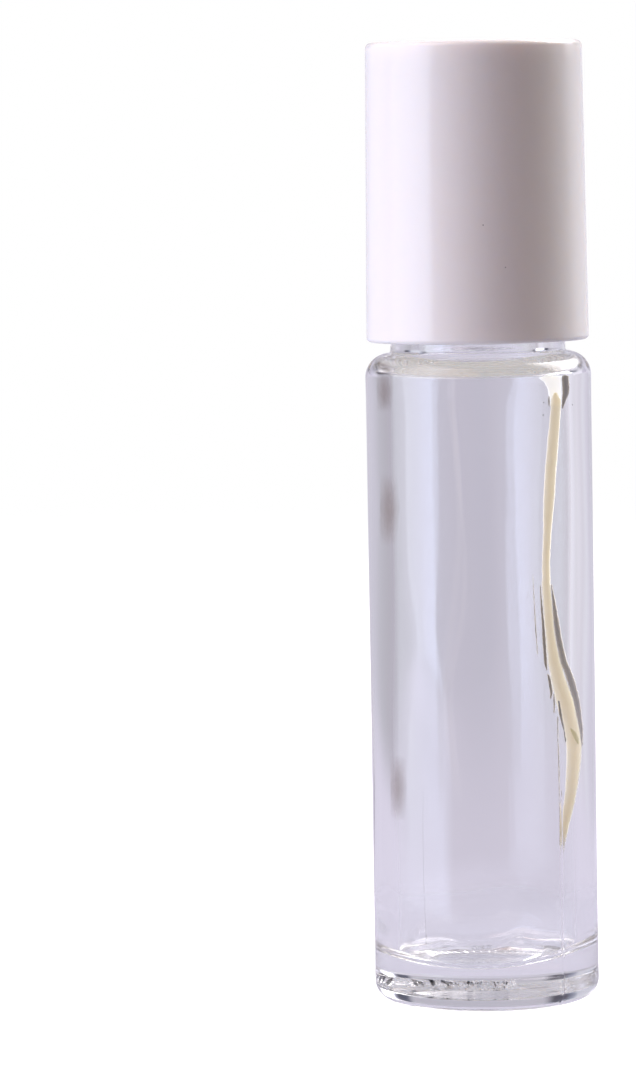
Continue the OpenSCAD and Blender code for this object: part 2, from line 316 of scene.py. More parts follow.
def buildFloor(f):
    half = f["size"] / 2 * mm
    z = -f["drop"] * mm
    corners = [(-half, -half, z), (half, -half, z), (half, half, z), (-half, half, z)]
    mesh = bpy.data.meshes.new("floor")
    mesh.from_pydata(corners, [], [(0, 1, 2, 3)])
    obj = bpy.data.objects.new("floor", mesh)
    bpy.context.scene.collection.objects.link(obj)
    mat, tree, out = newMaterial("pale paper")
    away = addNode(tree, "ShaderNodeVectorMath", operation="LENGTH")
    link(tree, objectPlace(tree), away.inputs[0])

    def paper(paint, glow, fade):
        diffuse = addNode(tree, "ShaderNodeBsdfDiffuse", Color=(*paint, 1))
        light = addNode(tree, "ShaderNodeEmission", Color=(*glow, 1))
        both = tree.nodes.new("ShaderNodeAddShader")
        link(tree, diffuse.outputs[0], both.inputs[0])
        link(tree, light.outputs[0], both.inputs[1])
        gone = mapRange(tree, away.outputs["Value"], fade[0] * mm, fade[1] * mm, kind="SMOOTHSTEP")
        clear = tree.nodes.new("ShaderNodeBsdfTransparent")
        return mixShaders(tree, gone, both.outputs[0], clear.outputs[0])

    seen = paper(f["seenPaint"], f["seenGlow"], f["farFade"])
    through = paper(f["throughPaint"], f["throughGlow"], f["nearFade"])
    rays = tree.nodes.new("ShaderNodeLightPath")
    link(tree, mixShaders(tree, rays.outputs["Is Camera Ray"], through, seen), out.inputs[0])
    mesh.materials.append(mat)


buildFloor(floorPaper)
print("studio and floor built")


# Mesh helpers
def arcProfile(corners, arcStep=9.0):
    # A profile as points: each corner is (radius, height, rounding, step of the straight run that leaves
    # it). A rounding is an arc tangent to both runs, cut every arcStep degrees. A straight run is cut
    # into steps of the given length.
    points, lastStep = [], 0
    count = len(corners)
    for k, (r, z, rounding, step) in enumerate(corners):
        here = np.array([r, z])
        if 0 < k < count - 1 and rounding > 0:
            toLast = np.array(corners[k - 1][:2]) - here
            toNext = np.array(corners[k + 1][:2]) - here
            u, v = toLast / np.linalg.norm(toLast), toNext / np.linalg.norm(toNext)
            half = math.acos(float(np.clip(u @ v, -1, 1))) / 2
            centre = here + (u + v) / np.linalg.norm(u + v) * rounding / math.sin(half)
            start, end = here + u * rounding / math.tan(half), here + v * rounding / math.tan(half)
            a0 = math.atan2(*(start - centre)[::-1])
            a1 = math.atan2(*(end - centre)[::-1])
            sweep = (a1 - a0 + math.pi) % fullTurn - math.pi
            steps = max(2, int(abs(math.degrees(sweep)) / arcStep) + 1)
            a = a0 + sweep * np.linspace(0, 1, steps + 1)
            arc = centre + rounding * np.stack([np.cos(a), np.sin(a)], 1)
        else:
            arc = here[None]
        if lastStep > 0:
            last = points[-1][-1]
            run = np.linalg.norm(arc[0] - last)
            cuts = int(run / lastStep)
            if cuts > 0:
                t = np.linspace(0, 1, cuts + 2)[1:-1, None]
                points.append(last + (arc[0] - last) * t)
        points.append(arc)
        lastStep = step
    return np.concatenate(points)


def putMesh(name, points, quads, tris):
    # Points in millimetres, faces as index arrays.
    mesh = bpy.data.meshes.new(name)
    mesh.vertices.add(len(points))
    mesh.vertices.foreach_set("co", (np.asarray(points, float) * mm).astype(np.float32).ravel())
    loops = np.concatenate([quads.ravel(), tris.ravel()]).astype(np.int32)
    starts = np.concatenate([np.arange(len(quads)) * 4, len(quads) * 4 + np.arange(len(tris)) * 3])
    mesh.loops.add(len(loops))
    mesh.loops.foreach_set("vertex_index", loops)
    mesh.polygons.add(len(starts))
    mesh.polygons.foreach_set("loop_start", starts.astype(np.int32))
    mesh.update(calc_edges=True)
    mesh.validate()
    mesh.polygons.foreach_set("use_smooth", np.ones(len(mesh.polygons), bool))
    obj = bpy.data.objects.new(name, mesh)
    bpy.context.scene.collection.objects.link(obj)
    return obj


def stackFaces(rows, cols):
    # Faces of rings stacked on each other, with a pole below the first ring and one above the last.
    # Points run ring by ring, and the two poles come last.
    j = np.arange(cols)
    k = np.arange(rows - 1)
    a, b = k[:, None] * cols, (k + 1)[:, None] * cols
    quads = np.stack([a + j, a + (j + 1) % cols, b + (j + 1) % cols, b + j], 2).reshape(-1, 4)
    low, high, top = rows * cols, rows * cols + 1, (rows - 1) * cols
    tris = np.concatenate([np.stack([np.full(cols, low), (j + 1) % cols, j], 1),
                           np.stack([np.full(cols, high), top + j, top + (j + 1) % cols], 1)])
    return quads, tris


def stackedPiece(name, grid):
    # grid[k, j] is point j of ring k. The first and last rings shrink to one point each.
    quads, tris = stackFaces(len(grid) - 2, grid.shape[1])
    points = np.concatenate([grid[1:-1].reshape(-1, 3), grid[0].mean(0)[None], grid[-1].mean(0)[None]])
    return putMesh(name, points, quads, tris)


def onCylinder(radius, height, angles):
    # Points from their distance to the Z axis, their height and their angle about it.
    return np.stack([radius * np.cos(angles), radius * np.sin(angles), height], 2)


def turnedPiece(name, radius, height, angles):
    # A turned surface: row k and column j stand at radius[k, j] and height[k, j], turned by angles[j]
    # about Z.
    return stackedPiece(name, onCylinder(radius, height, angles))


def evenAngles(count):
    return np.arange(count) * fullTurn / count


def spread(values, angles):
    # One value for each row, the same in every column.
    return np.repeat(values[:, None], len(angles), 1)


def facing(azimuth):
    # An azimuth as an angle about Z from +X, in radians.
    return math.radians(azimuth - 90)


def smooth(t):
    # From 0 to 1 as t does, level at both ends: three t squared less two t cubed.
    t = np.clip(t, 0, 1)
    return t * t * (3 - 2 * t)


def bell(t):
    # A bell curve: 1 in the middle, and e to the power of minus t squared beside it.
    return np.exp(-t ** 2)


def angleOff(angles, centre):
    # How far each angle lies from the centre, from minus half a turn to half a turn.
    return (angles - centre + np.pi) % fullTurn - np.pi


def finishPiece(obj, body, node, material):
    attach(obj, body)
    if node:
        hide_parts(node)
    obj.data.materials.append(material)


# Marks of handling: slow unevenness, and fine scuffs stretched down the piece. Scales are cells a metre,
# and a scuff starts where the fine noise passes the first number of scuffFrom, and is full at the second.
handling = dict(slowScale=180.0, slowDetail=2.0, fineScale=2600.0, fineDetail=4.0, fineStretch=(1, 1, 0.22),
                fineShare=0.04, scuffFrom=(0.52, 0.75))


def handlingMarks(h):
    # Height and Wear change over the surface of a handled, moulded piece.
    group, inside, outside = newGroup("handling marks", [("Scale", "NodeSocketFloat", 1.0)],
                                      [("Height", "NodeSocketFloat"), ("Wear", "NodeSocketFloat")])
    place, scale = objectPlace(group), inside.outputs["Scale"]
    slow = noise(group, place, times(group, scale, h["slowScale"]), h["slowDetail"])
    fine = noise(group, stretched(group, place, h["fineStretch"]), times(group, scale, h["fineScale"]),
                 h["fineDetail"])
    link(group, plus(group, slow, times(group, fine, h["fineShare"])), outside.inputs["Height"])
    link(group, mapRange(group, fine, *h["scuffFrom"]), outside.inputs["Wear"])
    return group


scuffs = handlingMarks(handling)

# Plastics: scatter is how far red, green and blue light spreads, as shares of a plastic's depth. A scuff
# is rougher by wornMore. Relief is in metres.
plasticFinish = dict(ior=1.49, scatter=(1.0, 0.9, 0.8), wornMore=0.1, relief=0.0004)


def plasticMaterial(name, colour, roughness, subsurface=0.0, depth=1.0, bump=0.02, scale=1.0, paintedGlow=None):
    f = plasticFinish
    mat, tree, out = newMaterial(name)
    shader = addNode(tree, "ShaderNodeBsdfPrincipled", Base_Color=(*colour, 1), Roughness=roughness,
                     IOR=f["ior"])
    if subsurface:
        shader.inputs["Subsurface Weight"].default_value = subsurface
        shader.inputs["Subsurface Radius"].default_value = f["scatter"]
        shader.inputs["Subsurface Scale"].default_value = depth * mm
    worn = placeGroup(tree, scuffs, Scale=scale)
    rough = mapRange(tree, worn.outputs["Wear"], 0.0, 1.0, roughness, roughness + f["wornMore"])
    link(tree, rough, shader.inputs["Roughness"])
    if paintedGlow:
        # Painted glow: an emission colour standing in for daylight that seeps through the thin walls, shown
        # only from inside the glass
        rays = tree.nodes.new("ShaderNodeLightPath")
        inGlass = mathNode(tree, "GREATER_THAN", rays.outputs["Transmission Depth"], 0.5)
        link(tree, mixColours(tree, inGlass, (0.0, 0.0, 0.0), paintedGlow), shader.inputs["Emission Color"])
        shader.inputs["Emission Strength"].default_value = 1.0
    addRelief(tree, worn.outputs["Height"], bump, f["relief"], shader)
    link(tree, shader.outputs[0], out.inputs[0])
    return mat


# Glass: relief and reliefDepth, in metres, are the strength and height of the bumps under it, and
# shadowTint is what it lets through to shadows and to soft light.
clearGlassLook = dict(tint=(0.985, 0.99, 0.99), ior=1.52, shadowTint=(0.93, 0.94, 0.94), relief=0.9,
                      reliefDepth=0.0002)

# Peened underside of the glass, up to the height top. The fine bumps reach out to the radius edge, and the
# coarse ones are a patch of the rim: behind the line y = back, and sideHalf to each side of x = side. The
# base magnifies its far rim sideways, so the patch has narrow cells. Cells and specks are counts a metre.
stipple = dict(top=0.55, topFade=0.25, edge=7.2, edgeFade=0.4, middleShare=0.22, middleCells=1700.0,
               middleSpecks=4200.0, back=1.5, backFade=2.5, side=-0.35, sideHalf=1.1, sideFade=0.6,
               rimNarrow=(3.0, 1.0, 1.0), rimCells=1300.0, rimSpecks=2600.0, speckShare=0.7,
               speckDetail=3.0)


def baseStipple(tree, s):
    # Each field of bumps is the distance to a cell's middle plus a share of fine noise, times how far
    # inside its place the point lies.
    place = objectPlace(tree)
    x, y, z = split(tree, place)
    away = mathNode(tree, "SQRT", plus(tree, times(tree, x, x), times(tree, y, y)))

    def within(value, limit, fade):
        return mapRange(tree, value, (limit + fade) * mm, limit * mm)

    def bumps(vector, cells, specks):
        cell = addNode(tree, "ShaderNodeTexVoronoi", Scale=cells)
        link(tree, vector, cell.inputs["Vector"])
        speck = noise(tree, vector, specks, s["speckDetail"])
        return plus(tree, cell.outputs["Distance"], times(tree, speck, s["speckShare"]))

    middle = within(away, s["edge"], s["edgeFade"])
    front = within(y, s["back"], s["backFade"])
    aside = mathNode(tree, "ABSOLUTE", minus(tree, x, s["side"] * mm))
    rim = times(tree, minus(tree, 1.0, middle), minus(tree, 1.0, front))
    rim = times(tree, rim, within(aside, s["sideHalf"], s["sideFade"]))
    rim = times(tree, rim, bumps(stretched(tree, place, s["rimNarrow"]), s["rimCells"], s["rimSpecks"]))
    middle = times(tree, times(tree, middle, s["middleShare"]),
                   bumps(place, s["middleCells"], s["middleSpecks"]))
    return times(tree, plus(tree, middle, rim), within(z, s["top"], s["topFade"]))


def glassMaterial(name, g):
    mat, tree, out = newMaterial(name)
    shader = addNode(tree, "ShaderNodeBsdfPrincipled", Base_Color=(*g["tint"], 1), Roughness=0.0,
                     IOR=g["ior"])
    addRelief(tree, baseStipple(tree, stipple), g["relief"], g["reliefDepth"], shader)
    shader.inputs["Transmission Weight"].default_value = 1.0
    clear = addNode(tree, "ShaderNodeBsdfTransparent", Color=(*g["shadowTint"], 1))
    rays = tree.nodes.new("ShaderNodeLightPath")
    soft = mathNode(tree, "MAXIMUM", rays.outputs["Is Shadow Ray"], rays.outputs["Is Diffuse Ray"])
    link(tree, mixShaders(tree, soft, shader.outputs[0], clear.outputs[0]), out.inputs[0])
    return mat


# Steel: roughness runs between the two numbers of worn, and is full on a scuff
steelFinish = dict(colour=(0.72, 0.73, 0.74), roughness=0.06, scuffScale=2.0, worn=(0.05, 0.22))


def steelMaterial(name, f):
    mat, tree, out = newMaterial(name)
    shader = addNode(tree, "ShaderNodeBsdfPrincipled", Base_Color=(*f["colour"], 1), Metallic=1.0,
                     Roughness=f["roughness"])
    worn = placeGroup(tree, scuffs, Scale=f["scuffScale"])
    link(tree, mapRange(tree, worn.outputs["Wear"], 0.0, 1.0, *f["worn"]), shader.inputs["Roughness"])
    link(tree, shader.outputs[0], out.inputs[0])
    return mat


paintedInnerGlow = (0.15, 0.142, 0.142)  # painted glow standing in for what seeps through the cap to the parts inside it
clearGlass = glassMaterial("clear glass", clearGlassLook)
whiteGloss = plasticMaterial("white gloss plastic", (0.87, 0.855, 0.85), roughness=0.12, subsurface=0.6,
                             depth=1.0)
# The housing and the insert get a painted glow where they are seen through the glass
naturalPlastic = plasticMaterial("natural plastic", (0.88, 0.87, 0.85), roughness=0.32, subsurface=1.0,
                                 depth=2.5, paintedGlow=paintedInnerGlow)
insertWhite = plasticMaterial("satin white plastic", (0.90, 0.88, 0.87), roughness=0.35, subsurface=1.0,
                              depth=1.6, paintedGlow=paintedInnerGlow)
sealFoam = plasticMaterial("seal foam", (0.82, 0.82, 0.77), roughness=0.75, bump=0.3, scale=4.0)
polishedSteel = steelMaterial("polished steel", steelFinish)
print("materials built")


# Glass bottle
glassBottle = dict(
    shoulder=57.6, wall=2.0, floor=3.6, vault=1.85, baseRound=1.6, shoulderRound=2.1, floorRound=0.9,
    vaultRound=0.2, ceilingWidth=0.3, footRound=0.3, shoulderPoints=15, footPoints=7,
    # Underside: a stepped hollow in the standing ring, and knurls across the ring's inner edge
    standing=2.75, standingRound=0.3, hollow=0.5, hollowStep=0.7, hollowRound=0.3,
    knurlCount=46, knurlDepth=0.14, knurlWidth=0.5, knurlTop=0.6,
    # Neck: mouthEdge is the bevel of the mouth, and the bore's points start mouthClear below the rim
    neckInset=2.25, threadDepth=0.75, neckWall=1.8, beadHeight=1.8, beadRound=0.4, neckFootRound=0.35,
    rimRound=0.4, mouthEdge=0.3, mouthClear=0.5,
    pitch=2.5, turns=1.5, belowRim=1.7, ridgeFoot=0.65, ridgeCrest=0.3, runout=40.0,
    # How near a point of the profile lies to the neck, the side and the bead to count as on them
    neckNear=0.02, sideNear=0.01, beadNear=0.05,
    # Mould seams down the outside from seamFoot up, strong below seamTop and seamFaint of that above it.
    # Their own columns stand in seamColumns, and the even columns keep seamClear away.
    seamAzimuths=(40.4, 220.4), seamHeight=0.045, seamHalf=0.5, seamFoot=0.2, seamTop=20.0, seamFade=2.0,
    seamFaint=0.04, seamColumns=(-1.1, -0.8, -0.5, -0.25, 0, 0.25, 0.5, 0.8, 1.1), seamClear=1.6,
    columns=230,
    # Floor: a shallow round step inside floorRing. Its edge leans towards floorLeanTo, twists towards
    # floorTwistTo and rises by floorDish. All this ends leanTop above the floor, and fades over leanFade.
    floorRing=5.3, floorStep=0.18, floorSlope=0.45, floorStepRound=0.25, floorLean=0.3, floorLeanTo=70,
    floorTwist=0.45, floorTwistTo=90, floorDish=0.45, leanTop=9.0, leanFade=8.0,
    # Heaps of glass at the floor's edge: (azimuth, half angle, rise)
    heels=[(152, 12, 0.5), (-148, 11, 0.25)],
    # Waves of the inner wall: (amplitude, waves round, waves in waveHeight, phase in radians)
    waves=[(0.05, 2, 0.0, 0.0), (0.03, 3, 1.1, 0.9), (0.015, 5, 1.7, 2.4)], waveHeight=50.0,
    # Dents of the inner wall: (azimuth, height, depth, half angle, half height)
    dents=[(-15, 42.0, -0.08, 12, 22.0), (8, 42.0, 0.07, 11, 25.0), (-128, 40.0, -0.04, 12, 20),
           (45, 36.0, -0.06, 11, 10.0), (168, 40.0, 0.10, 11, 20.0), (154, 32.0, -0.05, 9, 10.0),
           (-168, 40.0, 0.05, 11, 20.0), (-37, 32.0, 0.13, 10, 5.0), (-23, 28.5, 0.13, 9, 5.0)],
    # Waves and dents fade out over these lengths: above the floor, below the ceiling, and inwards
    floorFade=4.0, ceilingFade=3.0, inwardFade=2.5,
    # Slow waves of the outer wall, written the same way and sunk by outerSink, so that they stay inside
    # the body's radius. They start outerStart above the ground, and fade in and out over outerFade.
    outerWaves=[(0.008, 3, 0.8, 1.0), (0.004, 5, 1.9, 2.0)], outerSink=0.02, outerStart=1.5,
    outerFade=(3.0, 2.0),
    # Steps of the profile's straight runs
    steps=dict(hollow=0.5, ledge=0.1, standing=0.3, side=1.0, neck=0.14, rim=0.25, inside=0.8, ceiling=0.3,
               floor=0.4, floorRing=0.2))


def wallWaves(g, waves, angles, z):
    # Sum of cosines round and along the wall, with the phase turning slowly with height.
    total = np.zeros(np.broadcast(angles, z).shape)
    for size, around, along, phase in waves:
        drift = fullTurn * along * z / g["waveHeight"]
        total += size * np.cos(around * (angles - facing(0)) + drift + phase)
    return total


def wallDents(dents, angles, z):
    # Each dent is a bell curve in angle times a bell curve in height.
    total = np.zeros(np.broadcast(angles, z).shape)
    for azimuth, height, depth, halfAngle, halfHeight in dents:
        total += depth * np.exp(-(angleOff(angles, facing(azimuth)) / math.radians(halfAngle)) ** 2
                                - ((z - height) / halfHeight) ** 2)
    return total


def wallUneven(g, angles, z):
    # Waves and dents of the inner wall, fading out towards the floor and the ceiling
    aboveFloor, underCeiling = z - g["floor"], g["shoulder"] - g["vault"] - z
    grip = smooth(aboveFloor / g["floorFade"]) * smooth(underCeiling / g["ceilingFade"])
    return grip * (wallWaves(g, g["waves"], angles, z) + wallDents(g["dents"], angles, z))


def floorRise(g, angles):
    # How far the floor's edge stands up at each angle: a cosine once round, one twice round, the same rise
    # all round, and a bell curve for each heel.
    rise = g["floorLean"] * np.cos(angleOff(angles, facing(g["floorLeanTo"]))) + g["floorTwist"] * np.cos(
        2 * angleOff(angles, facing(g["floorTwistTo"]))) + g["floorDish"]
    for azimuth, halfAngle, lift in g["heels"]:
        rise = rise + lift * bell(angleOff(angles, facing(azimuth)) / math.radians(halfAngle))
    return rise


def threadRidge(g, z, angles):
    # Height of the right-handed ridge over the neck at height z: a flat crest with sloping flanks round
    # the helix, which climbs one pitch a turn and sinks into the neck at both ends.
    a = angles % fullTurn
    startZ = rimHeight - g["belowRim"] - g["pitch"] * g["turns"]
    rise = np.zeros(np.broadcast(z, a).shape)
    for turn in range(int(g["turns"]) + 1):
        along = a + fullTurn * turn
        ends = np.minimum(along, fullTurn * g["turns"] - along) / math.radians(g["runout"])
        away = np.abs(z - (startZ + g["pitch"] * along / fullTurn))
        flank = (g["ridgeFoot"] - away) / (g["ridgeFoot"] - g["ridgeCrest"])
        rise = np.maximum(rise, smooth(flank) * np.clip(ends, 0, 1))
    return rise * g["threadDepth"]


def bottleLines(g):
    # The radii and heights that the profile's corners lie on.
    thread = bodyRadius - g["neckInset"]
    neck = thread - g["threadDepth"]
    return dict(outer=bodyRadius, inner=bodyRadius - g["wall"], thread=thread, neck=neck,
                bore=neck - g["neckWall"], standing=bodyRadius - g["baseRound"] - g["standing"],
                vault=g["shoulder"] - g["vault"], bead=g["shoulder"] + g["beadHeight"])


def shoulderCurve(g, at):
    # From the side over the shoulder to the bead: the shoulder's round, and a fillet that touches both it
    # and the bead. Both arcs end where the line through their centres, at the angle lean, crosses them.
    turnRadius, foot = g["shoulderRound"], g["footRound"]
    centre = np.array([at["outer"] - turnRadius, g["shoulder"] - turnRadius])
    across = at["thread"] + foot - centre[0]
    rise = math.sqrt((turnRadius + foot) ** 2 - across ** 2)
    lean = math.atan2(rise, across)
    a = np.linspace(0, lean, g["shoulderPoints"])[:, None]
    b = np.linspace(lean + np.pi, np.pi, g["footPoints"])[1:, None]
    shoulderArc = centre + turnRadius * np.hstack([np.cos(a), np.sin(a)])
    footArc = np.array([at["thread"] + foot, centre[1] + rise]) + foot * np.hstack([np.cos(b), np.sin(b)])
    return np.concatenate([shoulderArc, footArc])


def bottleProfile(g, at):
    # The glass in section as (radius, height): from the middle of the underside up the outside, over the
    # rim and down the inside to the middle of the floor. The second result says which points are inside.
    steps, curve = g["steps"], shoulderCurve(g, at)
    base = arcProfile([
        (0, g["hollow"], 0, steps["hollow"]),
        (at["standing"] - g["hollowStep"], g["hollow"], g["hollowRound"], steps["ledge"]),
        (at["standing"], 0, g["standingRound"], steps["standing"]),
        (at["outer"], 0, g["baseRound"], steps["side"]),
        (at["outer"], g["shoulder"] - g["shoulderRound"], 0, 0)])
    neck = arcProfile([
        (at["thread"], curve[-1, 1], 0, 0),
        (at["thread"], at["bead"], g["beadRound"], 0),
        (at["neck"], at["bead"], g["neckFootRound"], steps["neck"]),
        (at["neck"], rimHeight, g["rimRound"], steps["rim"]),
        (at["bore"], rimHeight, 0, 0)])
    outside = np.concatenate([base[:-1], curve, neck[1:-1], [[at["bore"], rimHeight - g["mouthEdge"]]]])
    # The bore widens to the ceiling in one large round
    mouth = at["inner"] - g["vaultRound"] - g["ceilingWidth"] - at["bore"]
    lowFloor = g["floor"] - g["floorStep"]
    inside = arcProfile([
        (at["bore"], rimHeight, 0, steps["inside"]),
        (at["bore"], at["vault"], mouth, steps["ceiling"]),
        (at["inner"], at["vault"], g["vaultRound"], steps["inside"]),
        (at["inner"], g["floor"], g["floorRound"], steps["floor"]),
        (g["floorRing"], g["floor"], g["floorStepRound"], steps["floorRing"]),
        (g["floorRing"] - g["floorSlope"], lowFloor, g["floorStepRound"], steps["floor"]),
        (0, lowFloor, 0, 0)])
    inside = inside[inside[:, 1] < rimHeight - g["mouthClear"]]
    profile = np.concatenate([outside, inside])
    return profile, np.arange(len(profile))[:, None] >= len(outside)


def bottleAngles(g, seams):
    # Even columns, with fine ones at each seam in place of those beside it.
    even, fine = evenAngles(g["columns"]), np.radians(g["seamColumns"])
    even = even[np.all([np.abs(angleOff(even, s)) > math.radians(g["seamClear"]) for s in seams], 0)]
    return np.sort(np.concatenate([even] + [s + fine for s in seams]) % fullTurn)


def buildBottle(g):
    # The profile carried round the axis. The radius gets the thread, the uneven walls and the seams, and
    # the height gets the uneven floor and the knurls.
    seams = [facing(s) % fullTurn for s in g["seamAzimuths"]]
    at, angles = bottleLines(g), bottleAngles(g, seams)
    profile, isInside = bottleProfile(g, at)
    line, z = profile[:, :1], profile[:, 1:]
    radius, height = spread(profile[:, 0], angles), spread(profile[:, 1], angles)
    onNeck = ~isInside & (np.abs(line - at["neck"]) < g["neckNear"]) & (z > at["bead"])
    radius = radius + onNeck * threadRidge(g, height, angles[None])
    inward = smooth((line - at["inner"] + g["inwardFade"]) / g["inwardFade"])
    radius = radius + isInside * wallUneven(g, angles[None], height) * inward
    fadeIn, fadeOut = g["outerFade"]
    sideTop = g["shoulder"] - g["shoulderRound"]
    outerGrip = smooth((z - g["outerStart"]) / fadeIn) * smooth((sideTop - z) / fadeOut)
    outerGrip = ~isInside * outerGrip * (line > at["outer"] - g["sideNear"])
    sunk = wallWaves(g, g["outerWaves"], angles[None], height) + g["outerSink"]
    radius = radius - outerGrip * np.maximum(sunk, 0)
    # The floor is uneven most at its edge
    nearFloor = isInside * smooth((g["floor"] + g["leanTop"] - z) / g["leanFade"])
    height = height + nearFloor * floorRise(g, angles)[None] * (line / at["inner"]) ** 2
    knurl = bell((line - at["standing"] - g["knurlWidth"]) / g["knurlWidth"])
    knurl = knurl * (~isInside & (z < g["knurlTop"]))
    height = height + knurl * g["knurlDepth"] * (0.5 + 0.5 * np.cos(g["knurlCount"] * angles[None]))
    seam = sum(bell(angleOff(angles, s) / math.radians(g["seamHalf"])) for s in seams)[None]
    onSide = ~isInside & (line > at["thread"] - g["beadNear"]) & (z > g["seamFoot"])
    radius = radius + onSide * seam * g["seamHeight"] * (
        g["seamFaint"] + smooth((g["seamTop"] - z) / g["seamFade"]))
    obj = turnedPiece("glassBottle", radius, height, angles)
    finishPiece(obj, "bottle", "glass_bottle", clearGlass)
    print("bottle", len(obj.data.polygons), "faces")


buildBottle(glassBottle)


# What dried on the inner wall, right of the middle: a tan run of oil, with painted shade as dark,
# drawn-out films along its edges and a painted highlight as a pale patch where it started. A look is its
# material's name, how deep its films are sunk into the wall, the colours from its left edge to its right
# one, the share of them that is painted on as a glow, and for the run the part of its length over which its
# lower end thins out.
oilLooks = dict(
    tan=dict(name="dried oil with painted glow", sunk=0.03, left=(0.60, 0.565, 0.53), middle=(0.57, 0.52, 0.44),
             right=(0.62, 0.57, 0.48), paintedGlow=0.45, tail=0.08),
    # dark and grey are painted shade: dark films laid along the run's edges
    dark=dict(name="painted shade at oil edge", sunk=0.05, left=(0.18, 0.18, 0.20), middle=(0.13, 0.14, 0.18),
              right=(0.20, 0.20, 0.23), paintedGlow=0.45),
    grey=dict(name="grey painted shade at oil edge", sunk=0.05, left=(0.22, 0.22, 0.26), middle=(0.18, 0.19, 0.23),
              right=(0.25, 0.25, 0.29), paintedGlow=0.45),
    # pale is a painted highlight: white films with a glow, for the glints on the run
    pale=dict(name="painted highlight on oil", sunk=0.02, left=(0.95, 0.95, 0.97), middle=(1.0, 1.0, 1.0),
              right=(0.97, 0.97, 1.0), paintedGlow=0.55),
    olive=dict(name="olive oil patch", sunk=0.04, left=(0.46, 0.42, 0.28), middle=(0.42, 0.38, 0.26),
               right=(0.48, 0.44, 0.30), paintedGlow=0.45))

# Each film is its look and its outline, and an outline is (height, left azimuth, right azimuth).
oilFilms = dict(
    run=("tan", [
        (54.3, 47, 48), (53.9, 45, 50.5), (53.5, 44, 52.5), (52.5, 43.5, 52), (50, 41, 50), (47.5, 39, 48),
        (45, 37.5, 46.5), (42, 37, 43.5), (39.5, 36, 42), (37.5, 35.5, 42), (36, 36, 43), (34, 37, 44),
        (32.5, 38, 45.5), (30.5, 39, 49), (29, 41, 53), (27, 44.5, 60), (25.5, 48, 63.5), (24.3, 51, 66.5),
        (23, 52.5, 69), (21.5, 52.5, 68), (19, 51, 63), (17, 48, 57.5), (16, 47, 54.5), (15, 46.5, 52),
        (14, 46.8, 50), (13, 47.5, 48.2)]),
    # The films from here down to line are painted shade: dark sheets along the run's edges
    rightTop=("dark", [
        (55.7, 53, 59.5), (54.5, 53.5, 60.5), (54, 53.5, 59.5), (53.5, 53, 57), (53, 53, 55),
        (52.7, 53, 53.7)]),
    leftTop=("dark", [(54, 42.5, 43), (53.5, 41.8, 43.3), (53, 42.5, 43.2)]),
    rightLong=("grey", [
        (37.5, 42.5, 43), (36, 43, 45.5), (34, 44, 48.5), (32.5, 45.5, 50.5), (30.5, 48.8, 54.6),
        (29, 53.5, 61), (27, 60, 67), (25.5, 63.5, 69.5), (24.2, 66.5, 71), (22.7, 69, 70)]),
    leftLong=("dark", [
        (37.5, 34.3, 34.7), (36, 34.3, 35.5), (34, 35, 37), (32, 35.5, 38), (30.5, 36.2, 38.5),
        (29.8, 38, 38.5)]),
    teethA=("dark", [(29.7, 38.2, 38.8), (29, 38.7, 41.2), (28, 40.2, 42.3), (27.3, 40.3, 41)]),
    teethB=("dark", [(27.9, 42.6, 43.1), (27, 42.7, 44), (26, 42.7, 43.3)]),
    tailA=("dark", [
        (27.2, 46.4, 47.2), (26, 46.8, 49), (25, 48.7, 50.6), (24.4, 50.6, 51.6), (23.3, 52, 52.7)]),
    tailB=("dark", [
        (25.8, 45.6, 46.2), (24, 45.5, 46), (22, 45.9, 46.5), (18, 46.4, 47), (14.2, 46.5, 46.8)]),
    line=("dark", [(38.4, 29.2, 29.5), (35, 30.1, 30.5), (33.5, 30.5, 31.1), (31.3, 31.6, 32)]),
    # blob and sliver are painted highlights on the run
    blob=("pale", [(55.7, 33, 53), (55.2, 39, 53.3), (54.6, 41.6, 53.4), (54, 42.4, 53.3), (53, 43.6, 53)]),
    sliver=("pale", [(28, 55, 55.6), (27.5, 55.7, 57.7), (27, 57.4, 59.6), (26, 60.8, 62)]),
    olive=("olive", [(24.6, 56, 56.8), (24, 58, 63), (23.4, 61, 65.6), (22.9, 64.8, 65.5)]))

# A film's bulge, its step down the wall, its points across, and how ragged its edges are, in degrees
oilShape = dict(thickness=0.08, step=0.12, across=11, ragged=0.12)

# A film's finish. Its streaks are noise drawn out down the wall, which shifts the colour sideways. Each
# film also gives off a painted glow, and the run's painted glow grows towards its upper part, where it is
# thinner: glowAlong is where, and glow how strong.
oilFinish = dict(
    roughness=0.3, ior=1.47, scatter=(1.0, 0.85, 0.6), scatterDepth=0.5, painted=0.6,
    colourAt=(0.1, 0.5, 0.9), streakScale=2600.0, streakDetail=3.0, streakStretch=(1, 1, 0.12),
    streakShift=0.5, glowAlong=(0.1, 0.55), glow=(0.8, 1.27))


